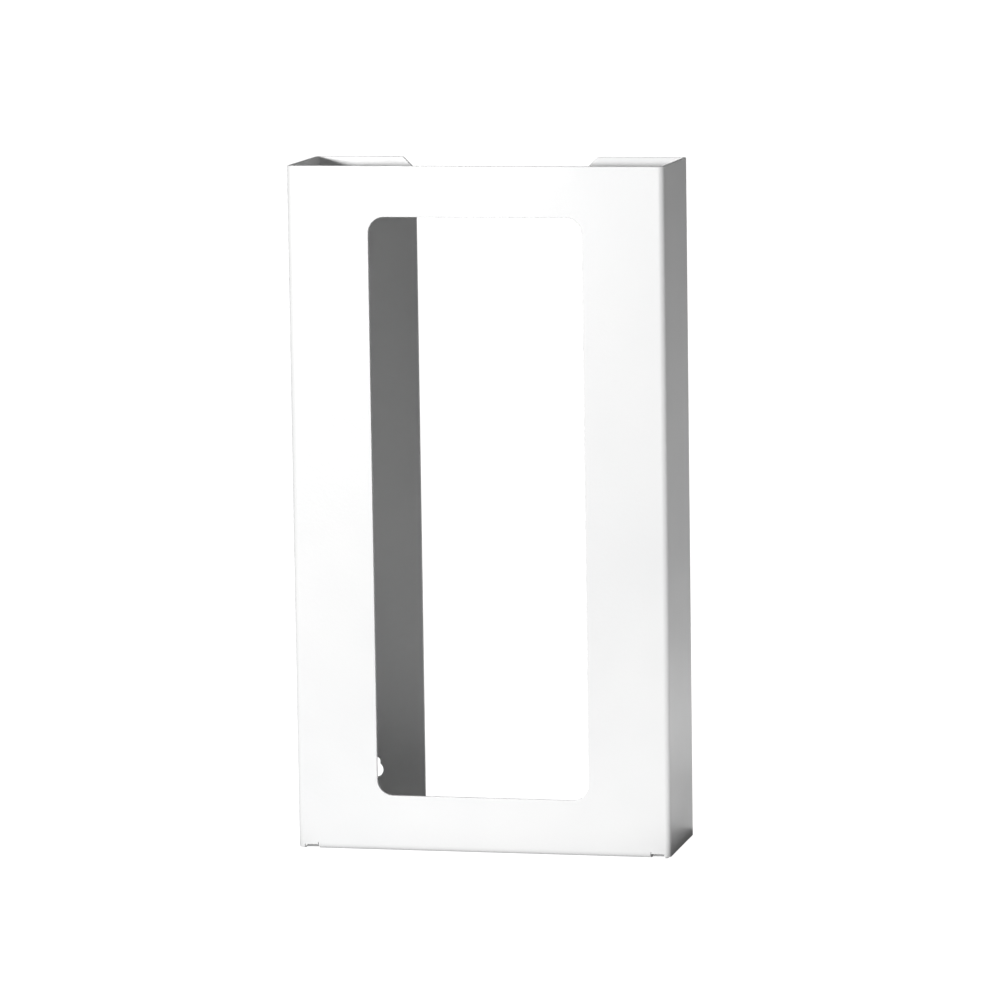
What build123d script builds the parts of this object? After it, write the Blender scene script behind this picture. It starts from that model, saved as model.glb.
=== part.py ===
from build123d import *
import os

# Wall-mounted dispenser for one slim box of disposable gloves.
# One blank of coated steel sheet, laser cut and folded: front panel with a
# tall window, two side walls, two flanges at the back and a shelf turned back
# from the front panel's lower edge. The top is open, and so is the back
# between the flanges.
#
# Frame: millimetres, +Z up, the front panel faces -Y, the origin is under the
# middle of the part at the level of the shelf's lower face.

# ---- driving dimensions ------------------------------------------------------
width = 140.0          # across the side walls, outside
height = 252.5         # shelf's lower face to the top edge
depth = 45.0           # front panel's outer face to the flanges' back face

sheet = 1.2            # coated sheet thickness
bend_r = 2.0           # outside radius of every fold
bend_ri = bend_r - sheet
edge_r = 0.25          # the coat rounds every cut edge

window_w = 79.4        # opening in the front panel
window_h = 213.4
window_low = 20.5      # its lower edge above the shelf's lower face
window_r = 6.0         # its corner radius

flange_w = 38.0        # back flange, from the side wall's outer face
flange_chamfer = 4.7   # 45 degree cut on each flange's upper inner corner
flange_lower_r = 1.0   # lower inner corner, only broken

wall_lift = 0.4        # walls and flanges end this far above the shelf's face

shelf_w = 125.0        # shelf turned back from the front panel
shelf_slit = 0.15      # relief slit at each end of the shelf's fold, one laser kerf
shelf_slit_top = 2.2   # how far up the slit runs
notch_top = 1.4        # relief notch beside the slit, up to this height
notch_end = 2.4        # kept between the notch and the side wall's outer face
shelf_gap = 1.0        # between the shelf's rear edge and the flanges
shelf_corner = 3.0     # radius of the shelf's rear corners

key_x = 51.0           # keyholes, from the centre line
key_low_z = 21.9       # centre of the lower round openings
key_high_z = 230.6     # centre of the upper round openings
key_r = 2.8            # round opening that passes a screw's head
key_slot_r = 1.7       # half width of the slot above it
key_rise = 3.2         # round opening's centre to the slot's end centre

# ---- derived -----------------------------------------------------------------
x_out = width / 2
x_in = x_out - sheet
y_front = -depth / 2
y_back = depth / 2
lip_x = x_out - flange_w
shelf_x = shelf_w / 2
shelf_y = y_back - sheet - shelf_gap


def arc_corner(x, y, r, a0, a1):
    """Quarter circle about (x, y) in the plan, from angle a0 to a1."""
    return CenterArc((x, y), r, a0, a1 - a0)


# ---- plan section: flange, side wall, front panel, side wall, flange ---------
# Outer line and inner line run parallel, one sheet apart, round every fold.
with BuildPart() as shell:
    with BuildSketch(Plane.XY.offset(wall_lift)):
        with BuildLine():
            # outer line, from the left flange's inner edge round to the right
            Line((-lip_x, y_back), (-x_out + bend_r, y_back))
            arc_corner(-x_out + bend_r, y_back - bend_r, bend_r, 90, 180)
            Line((-x_out, y_back - bend_r), (-x_out, y_front + bend_r))
            arc_corner(-x_out + bend_r, y_front + bend_r, bend_r, 180, 270)
            Line((-x_out + bend_r, y_front), (x_out - bend_r, y_front))
            arc_corner(x_out - bend_r, y_front + bend_r, bend_r, 270, 360)
            Line((x_out, y_front + bend_r), (x_out, y_back - bend_r))
            arc_corner(x_out - bend_r, y_back - bend_r, bend_r, 0, 90)
            Line((x_out - bend_r, y_back), (lip_x, y_back))
            # edge of the right flange, then the inner line back again
            Line((lip_x, y_back), (lip_x, y_back - sheet))
            Line((lip_x, y_back - sheet), (x_out - bend_r, y_back - sheet))
            arc_corner(x_out - bend_r, y_back - bend_r, bend_ri, 90, 0)
            Line((x_in, y_back - bend_r), (x_in, y_front + bend_r))
            arc_corner(x_out - bend_r, y_front + bend_r, bend_ri, 360, 270)
            Line((x_out - bend_r, y_front + sheet), (-x_out + bend_r, y_front + sheet))
            arc_corner(-x_out + bend_r, y_front + bend_r, bend_ri, 270, 180)
            Line((-x_in, y_front + bend_r), (-x_in, y_back - bend_r))
            arc_corner(-x_out + bend_r, y_back - bend_r, bend_ri, 180, 90)
            Line((-x_out + bend_r, y_back - sheet), (-lip_x, y_back - sheet))
            Line((-lip_x, y_back - sheet), (-lip_x, y_back))
        make_face()
    extrude(amount=height - wall_lift)
body = shell.part

# ---- window in the front panel -------------------------------------------------
with BuildPart() as window:
    with BuildSketch(Plane.XZ.offset(-y_front + 5)):
        with Locations((0, window_low + window_h / 2)):
            RectangleRounded(window_w, window_h, window_r)
    extrude(amount=-(sheet + 10))
body -= window.part

# ---- flange corners: chamfer above, a broken corner below ---------------------
for s in (-1, 1):
    cut_top = Polyline(
        (s * (lip_x - 1.0), height + 1.0),
        (s * (lip_x + flange_chamfer + 1.0), height + 1.0),
        (s * (lip_x - 1.0), height - flange_chamfer - 1.0),
        (s * (lip_x - 1.0), height + 1.0),
    )
    tool = extrude(Plane.XZ.offset(-y_back - 1) * make_face(cut_top), amount=sheet + 2)
    body -= tool

lower_edges = [
    e for e in body.edges().filter_by(Axis.Y)
    if abs(abs(e.center().X) - lip_x) < 0.01
    and abs(e.center().Z - wall_lift) < 0.01
    and e.center().Y > 0
]
body = fillet(lower_edges, flange_lower_r)

# ---- keyholes ------------------------------------------------------------------
# Round opening below, slot above: the part is hooked over four screw heads and
# slides down until the shanks stop in the slot ends.
for sx in (-1, 1):
    for z in (key_low_z, key_high_z):
        centre = Plane.XZ.offset(-y_back - 1) * Location((sx * key_x, z, 0))
        round_part = centre * Circle(key_r)
        end_part = centre * Location((0, key_rise, 0)) * Circle(key_slot_r)
        slot_part = centre * Location((0, key_rise / 2, 0)) * Rectangle(2 * key_slot_r, key_rise)
        body -= extrude(round_part + end_part + slot_part, amount=sheet + 2)

# ---- room for the shelf's fold, with relief at each end ------------------------
# A slit lets the fold part from the panel, and a low notch beside it keeps the
# panel's corner clear of whatever the shelf stands on.
fold_room = Pos(0, y_front + sheet / 2, bend_r / 2 - 0.5) * Box(
    shelf_w + 2 * shelf_slit, sheet + 2 * bend_r, bend_r + 1.0
)
body -= fold_room
for s in (-1, 1):
    slit = Pos(s * (shelf_x + shelf_slit / 2), y_front + sheet / 2, shelf_slit_top / 2 - 0.5) * Box(
        shelf_slit, sheet + 2.0, shelf_slit_top + 1.0
    )
    body -= slit
    notch_w = x_out - notch_end - shelf_x
    notch = Pos(s * (shelf_x + notch_w / 2), y_front + sheet / 2, notch_top / 2 - 0.5) * Box(
        notch_w, sheet + 2.0, notch_top + 1.0
    )
    body -= notch

# ---- shelf turned back from the front panel's lower edge ----------------------
with BuildPart() as shelf:
    with BuildSketch(Plane.YZ.offset(-shelf_x)):
        with BuildLine():
            Line((y_front, shelf_slit_top + 2.0), (y_front, bend_r))
            CenterArc((y_front + bend_r, bend_r), bend_r, 180, 90)
            Line((y_front + bend_r, 0), (shelf_y, 0))
            Line((shelf_y, 0), (shelf_y, sheet))
            Line((shelf_y, sheet), (y_front + bend_r, sheet))
            CenterArc((y_front + bend_r, bend_r), bend_ri, 270, -90)
            Line((y_front + sheet, bend_r), (y_front + sheet, shelf_slit_top + 2.0))
            Line((y_front + sheet, shelf_slit_top + 2.0), (y_front, shelf_slit_top + 2.0))
        make_face()
    extrude(amount=shelf_w)
shelf_part = shelf.part
rear_corners = [
    e for e in shelf_part.edges().filter_by(Axis.Z)
    if abs(e.center().Y - shelf_y) < 0.01
]
shelf_part = fillet(rear_corners, shelf_corner)
body += shelf_part

# ---- rounded cut edges -----------------------------------------------------------
# Each long edge between the sheet's skin and a cut face is rounded. The short
# edges across the sheet's thickness and the narrow slits are left sharp.
def edge_key(edge):
    c = edge.position_at(0.5)
    return (round(c.X, 3), round(c.Y, 3), round(c.Z, 3), round(edge.length, 3))


beside = {}
for face in body.faces():
    for edge in face.edges():
        beside.setdefault(edge_key(edge), []).append(face)

cut_edges = []
for edge in body.edges():
    faces = beside[edge_key(edge)]
    if len(faces) != 2:
        continue
    mid = edge.position_at(0.5)
    if faces[0].normal_at(mid).get_angle(faces[1].normal_at(mid)) < 20:
        continue  # where a fold runs on smoothly into a flat
    if edge.geom_type == GeomType.LINE and abs(edge.length - sheet) < 0.01:
        continue  # across the thickness
    if (
        abs(abs(mid.X) - shelf_x) < 0.6
        and mid.Z < shelf_slit_top + 0.1
        and mid.Y < y_front + bend_r + 0.1
    ):
        continue  # at the slits
    cut_edges.append(edge)
body = body.fillet(edge_r, cut_edges)
assert body.is_valid

solids = body.solids()
assert len(solids) == 1, "the folded sheet is one solid"
body = solids[0]
body.label = "dispenser_body"

os.makedirs("parts", exist_ok=True)
export_step(body, "parts/dispenser_body.step")
bb = body.bounding_box()
print("size", round(bb.size.X, 3), round(bb.size.Y, 3), round(bb.size.Z, 3),
      "min", tuple(round(v, 3) for v in bb.min), "volume", round(body.volume, 1))
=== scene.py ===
import math

import bpy
from mathutils import Matrix, Vector


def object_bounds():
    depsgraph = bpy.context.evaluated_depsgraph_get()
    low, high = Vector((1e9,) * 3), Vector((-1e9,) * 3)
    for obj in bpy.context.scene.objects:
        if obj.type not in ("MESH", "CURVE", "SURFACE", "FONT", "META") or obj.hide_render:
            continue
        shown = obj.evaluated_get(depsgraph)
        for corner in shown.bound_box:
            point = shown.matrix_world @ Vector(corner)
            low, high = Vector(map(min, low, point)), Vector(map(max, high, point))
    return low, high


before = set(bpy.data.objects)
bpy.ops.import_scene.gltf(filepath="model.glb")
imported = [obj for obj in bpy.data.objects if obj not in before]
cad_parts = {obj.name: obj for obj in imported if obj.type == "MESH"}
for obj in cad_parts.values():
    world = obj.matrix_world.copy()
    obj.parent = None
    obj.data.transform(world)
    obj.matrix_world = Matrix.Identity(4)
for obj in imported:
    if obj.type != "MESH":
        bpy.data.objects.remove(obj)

cad_box = [[float(c) for c in corner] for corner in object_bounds()]
scene = bpy.context.scene

# ---- camera at the photograph's angle ------------------------------------------
YAW = 0.223133
PITCH = 0.131772
ROLL = -0.014532
FOCAL_PX = 5869.5
CENTRE_PX = (490.73, 481.53)
PLACE = Vector((0.473083, -2.086461, 0.418153))

forward = Vector((-math.sin(YAW) * math.cos(PITCH), math.cos(YAW) * math.cos(PITCH), -math.sin(PITCH)))
right = Vector((math.cos(YAW), math.sin(YAW), 0.0))
up = right.cross(forward)
right_r = math.cos(ROLL) * right + math.sin(ROLL) * up
up_r = -math.sin(ROLL) * right + math.cos(ROLL) * up

cam_data = bpy.data.cameras.new("camera")
cam_data.sensor_fit = "HORIZONTAL"
cam_data.sensor_width = 36.0
cam_data.lens = FOCAL_PX / 1000.0 * 36.0
cam_data.shift_x = (500.0 - CENTRE_PX[0]) / 1000.0
cam_data.shift_y = (CENTRE_PX[1] - 500.0) / 1000.0
cam_data.clip_start = 0.05
cam_data.clip_end = 100.0
camera = bpy.data.objects.new("camera", cam_data)
scene.collection.objects.link(camera)
turn = Matrix((right_r, up_r, -forward)).transposed()
camera.matrix_world = Matrix.Translation(PLACE) @ turn.to_4x4()
scene.camera = camera

# ---- white powder coat ---------------------------------------------------------
def powder_coat(name):
    mat = bpy.data.materials.new(name)
    mat.use_nodes = True
    nt = mat.node_tree
    nt.nodes.clear()
    new = nt.nodes.new
    link = nt.links.new
    out = new("ShaderNodeOutputMaterial")
    bsdf = new("ShaderNodeBsdfPrincipled")
    link(bsdf.outputs["BSDF"], out.inputs["Surface"])
    bsdf.inputs["Specular IOR Level"].default_value = 0.45
    bsdf.inputs["IOR"].default_value = 1.5

    coord = new("ShaderNodeTexCoord")

    def noise(scale, detail, rough=0.5):
        n = new("ShaderNodeTexNoise")
        n.inputs["Scale"].default_value = scale
        n.inputs["Detail"].default_value = detail
        n.inputs["Roughness"].default_value = rough
        link(coord.outputs["Object"], n.inputs["Vector"])
        return n

    def ramp(src, lo, hi, out_lo, out_hi):
        m = new("ShaderNodeMapRange")
        m.inputs["From Min"].default_value = lo
        m.inputs["From Max"].default_value = hi
        m.inputs["To Min"].default_value = out_lo
        m.inputs["To Max"].default_value = out_hi
        link(src, m.inputs["Value"])
        return m.outputs["Result"]

    # colour: a cool white, faintly clouded where the coat is thicker or thinner
    cloud = noise(14.0, 3.0)
    mix = new("ShaderNodeMix")
    mix.data_type = "RGBA"
    mix.inputs["A"].default_value = (0.775, 0.778, 0.780, 1.0)
    mix.inputs["B"].default_value = (0.800, 0.801, 0.800, 1.0)
    link(ramp(cloud.outputs["Fac"], 0.35, 0.65, 0.0, 1.0), mix.inputs["Factor"])
    link(mix.outputs["Result"], bsdf.inputs["Base Color"])

    # gloss: satin, a little uneven
    haze = noise(60.0, 2.0)
    link(ramp(haze.outputs["Fac"], 0.3, 0.7, 0.34, 0.42), bsdf.inputs["Roughness"])

    # orange peel: 1 to 2 mm ripples, and a finer grain of the powder
    peel = noise(900.0, 1.5, 0.45)
    grain = noise(3200.0, 1.0, 0.4)
    bump_a = new("ShaderNodeBump")
    bump_a.inputs["Strength"].default_value = 0.30
    bump_a.inputs["Distance"].default_value = 0.00010
    link(peel.outputs["Fac"], bump_a.inputs["Height"])
    bump_b = new("ShaderNodeBump")
    bump_b.inputs["Strength"].default_value = 0.15
    bump_b.inputs["Distance"].default_value = 0.00003
    link(grain.outputs["Fac"], bump_b.inputs["Height"])
    link(bump_a.outputs["Normal"], bump_b.inputs["Normal"])
    link(bump_b.outputs["Normal"], bsdf.inputs["Normal"])
    return mat


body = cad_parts["dispenser_body"]
coat = powder_coat("white_powder_coat")
for slot in body.material_slots:
    slot.material = coat
if not body.material_slots:
    body.data.materials.append(coat)

# ---- floor ---------------------------------------------------------------------
# Two flat discs in one plane. The camera sees a white sweep that runs into the
# backdrop; what bounces light onto the part is a greyer table, which the camera
# doesn't see.
def disc(name, radius, z, n=128):
    mesh = bpy.data.meshes.new(name)
    ring = [(radius * math.cos(math.tau * i / n), radius * math.sin(math.tau * i / n), 0.0) for i in range(n)]
    mesh.from_pydata(ring, [], [tuple(range(n))])
    obj = bpy.data.objects.new(name, mesh)
    obj.location.z = z
    scene.collection.objects.link(obj)
    return obj


def stage_material(name, albedo, glow):
    mat = bpy.data.materials.new(name)
    mat.use_nodes = True
    nt = mat.node_tree
    nt.nodes.clear()
    out = nt.nodes.new("ShaderNodeOutputMaterial")
    matt = nt.nodes.new("ShaderNodeBsdfDiffuse")
    matt.inputs["Color"].default_value = (albedo, albedo, albedo, 1.0)
    if glow:
        lit = nt.nodes.new("ShaderNodeEmission")
        lit.inputs["Strength"].default_value = glow
        add = nt.nodes.new("ShaderNodeAddShader")
        nt.links.new(matt.outputs[0], add.inputs[0])
        nt.links.new(lit.outputs[0], add.inputs[1])
        nt.links.new(add.outputs[0], out.inputs["Surface"])
    else:
        nt.links.new(matt.outputs[0], out.inputs["Surface"])
    return mat


floor = disc("floor", 40.0, -0.0002)
floor.data.materials.append(stage_material("floor_white", 0.30, 1.0))
floor.visible_diffuse = False
floor.visible_glossy = False
floor.visible_transmission = False
floor.visible_shadow = False

# Painted contact shadow: under the part the floor's own glow gives way to a dim grey pad, seen only by the
# camera, so the gaps below its walls show dark. In front the pad ends under the shelf's fold, and reaches
# further below the side walls and their folds.
(x_lo, y_lo, _), (x_hi, y_hi, _) = cad_box
fold_y = y_lo + 0.0020
notch_y = y_lo + 0.0038
shelf_end = 0.0627
notch_end = 0.0676
painted_shadow_pad_mesh = bpy.data.meshes.new("painted_shadow_pad")
painted_shadow_pad_mesh.from_pydata(
    [(x_lo + 0.0016, y_lo + 0.0022, 0.0), (-notch_end, y_lo + 0.0022, 0.0),
     (-notch_end, notch_y, 0.0), (-shelf_end, notch_y, 0.0),
     (-shelf_end, fold_y, 0.0), (shelf_end, fold_y, 0.0),
     (shelf_end, notch_y, 0.0), (notch_end, notch_y, 0.0),
     (notch_end, y_lo + 0.0006, 0.0), (x_hi - 0.0012, y_lo + 0.0006, 0.0),
     (x_hi - 0.0005, y_hi - 0.0005, 0.0), (x_lo + 0.0005, y_hi - 0.0005, 0.0)],
    [], [tuple(range(12))])
painted_shadow_pad = bpy.data.objects.new("painted_shadow_pad", painted_shadow_pad_mesh)
painted_shadow_pad.location.z = -0.0001
scene.collection.objects.link(painted_shadow_pad)
# painted shadow: a dim grey with a weak glow, in place of the white floor under the part
painted_shadow_pad.data.materials.append(stage_material("painted_shadow_grey", 0.30, 0.28))
painted_shadow_pad.visible_diffuse = False
painted_shadow_pad.visible_glossy = False
painted_shadow_pad.visible_shadow = False

table = disc("table", 1.0, -0.0003)
table.data.materials.append(stage_material("table_grey", 0.12, 0.0))
table.visible_camera = False

# ---- light -----------------------------------------------------------------------
def polar(az, el, dist, centre=(0, 0, 0.127)):
    """A place seen from the part: az 0 is straight in front, positive to the left."""
    a, e = math.radians(az), math.radians(el)
    return (centre[0] - math.sin(a) * math.cos(e) * dist,
            centre[1] - math.cos(a) * math.cos(e) * dist,
            centre[2] + math.sin(e) * dist)


def sun(name, az, el, strength, angle):
    """Light from a direction: az 0 is from straight in front, positive from the left."""
    data = bpy.data.lights.new(name, "SUN")
    data.energy = strength * math.pi
    data.angle = math.radians(angle)
    obj = bpy.data.objects.new(name, data)
    scene.collection.objects.link(obj)
    obj.location = polar(az, el, 2.0)
    d = Vector((0, 0, 0.127)) - obj.location
    obj.rotation_euler = d.to_track_quat("-Z", "Y").to_euler()
    return obj


def card(name, x0, x1, y0, y1, radiance):
    """A soft panel that lies on the table, faces up and is as bright as a lit sheet of paper."""
    data = bpy.data.lights.new(name, "AREA")
    data.shape = "RECTANGLE"
    data.size = x1 - x0
    data.size_y = y1 - y0
    data.energy = radiance * math.pi * (x1 - x0) * (y1 - y0)
    obj = bpy.data.objects.new(name, data)
    obj.location = ((x0 + x1) / 2, (y0 + y1) / 2, -0.0001)
    obj.rotation_euler = (math.pi, 0.0, 0.0)
    obj.visible_camera = False
    scene.collection.objects.link(obj)
    return obj


def lamp(name, az, el, dist, size, strength):
    """A round soft light; strength 1 lights a white sheet that faces it to a radiance of 1."""
    data = bpy.data.lights.new(name, "AREA")
    data.shape = "DISK"
    data.size = size
    data.energy = strength * (math.pi * dist) ** 2
    obj = bpy.data.objects.new(name, data)
    obj.location = polar(az, el, dist)
    d = Vector((0, 0, 0.127)) - obj.location
    obj.rotation_euler = d.to_track_quat("-Z", "Y").to_euler()
    obj.visible_camera = False
    scene.collection.objects.link(obj)
    return obj


lamp("key", 20, 10.2, 1.1, 0.08, 0.975)
sun("top", 90, 84, 0.30, 30)
sun("rim", -100, 6, 0.09, 40)
card("card_right_near", 0.086, 0.180, -0.12, 0.12, 0.74)
card("card_right", 0.180, 0.450, -0.30, 0.30, 1.68)
card("card_left_near", -0.180, -0.084, -0.12, 0.12, 0.40)
card("card_left", -0.450, -0.180, -0.30, 0.30, 0.60)
card("card_back_near", -0.080, 0.080, 0.036, 0.150, 1.70)
card("card_back", -0.180, 0.180, 0.150, 0.450, 0.94)
card("card_front_near", -0.080, 0.080, -0.150, -0.036, 0.66)
card("card_front_foot", -0.068, 0.068, -0.036, -0.0206, 0.40)

# The backdrop is white to the camera, and lights the part only a little.
AMBIENT = 0.02
world = bpy.data.worlds.new("studio")
world.use_nodes = True
wt = world.node_tree
wt.nodes.clear()
w_out = wt.nodes.new("ShaderNodeOutputWorld")
w_mix = wt.nodes.new("ShaderNodeMixShader")
w_path = wt.nodes.new("ShaderNodeLightPath")
w_light = wt.nodes.new("ShaderNodeBackground")
w_seen = wt.nodes.new("ShaderNodeBackground")
w_light.name = "w_light"
w_light.inputs["Strength"].default_value = AMBIENT
w_light.inputs["Color"].default_value = (1.0, 1.0, 1.0, 1.0)
w_seen.inputs["Strength"].default_value = 1.05
w_seen.inputs["Color"].default_value = (1.0, 1.0, 1.0, 1.0)
wt.links.new(w_path.outputs["Is Camera Ray"], w_mix.inputs["Fac"])
wt.links.new(w_light.outputs["Background"], w_mix.inputs[1])
wt.links.new(w_seen.outputs["Background"], w_mix.inputs[2])
wt.links.new(w_mix.outputs["Shader"], w_out.inputs["Surface"])
scene.world = world

scene.view_settings.view_transform = "Standard"
scene.view_settings.look = "None"
scene.view_settings.exposure = 0.0
scene.view_settings.gamma = 1.0
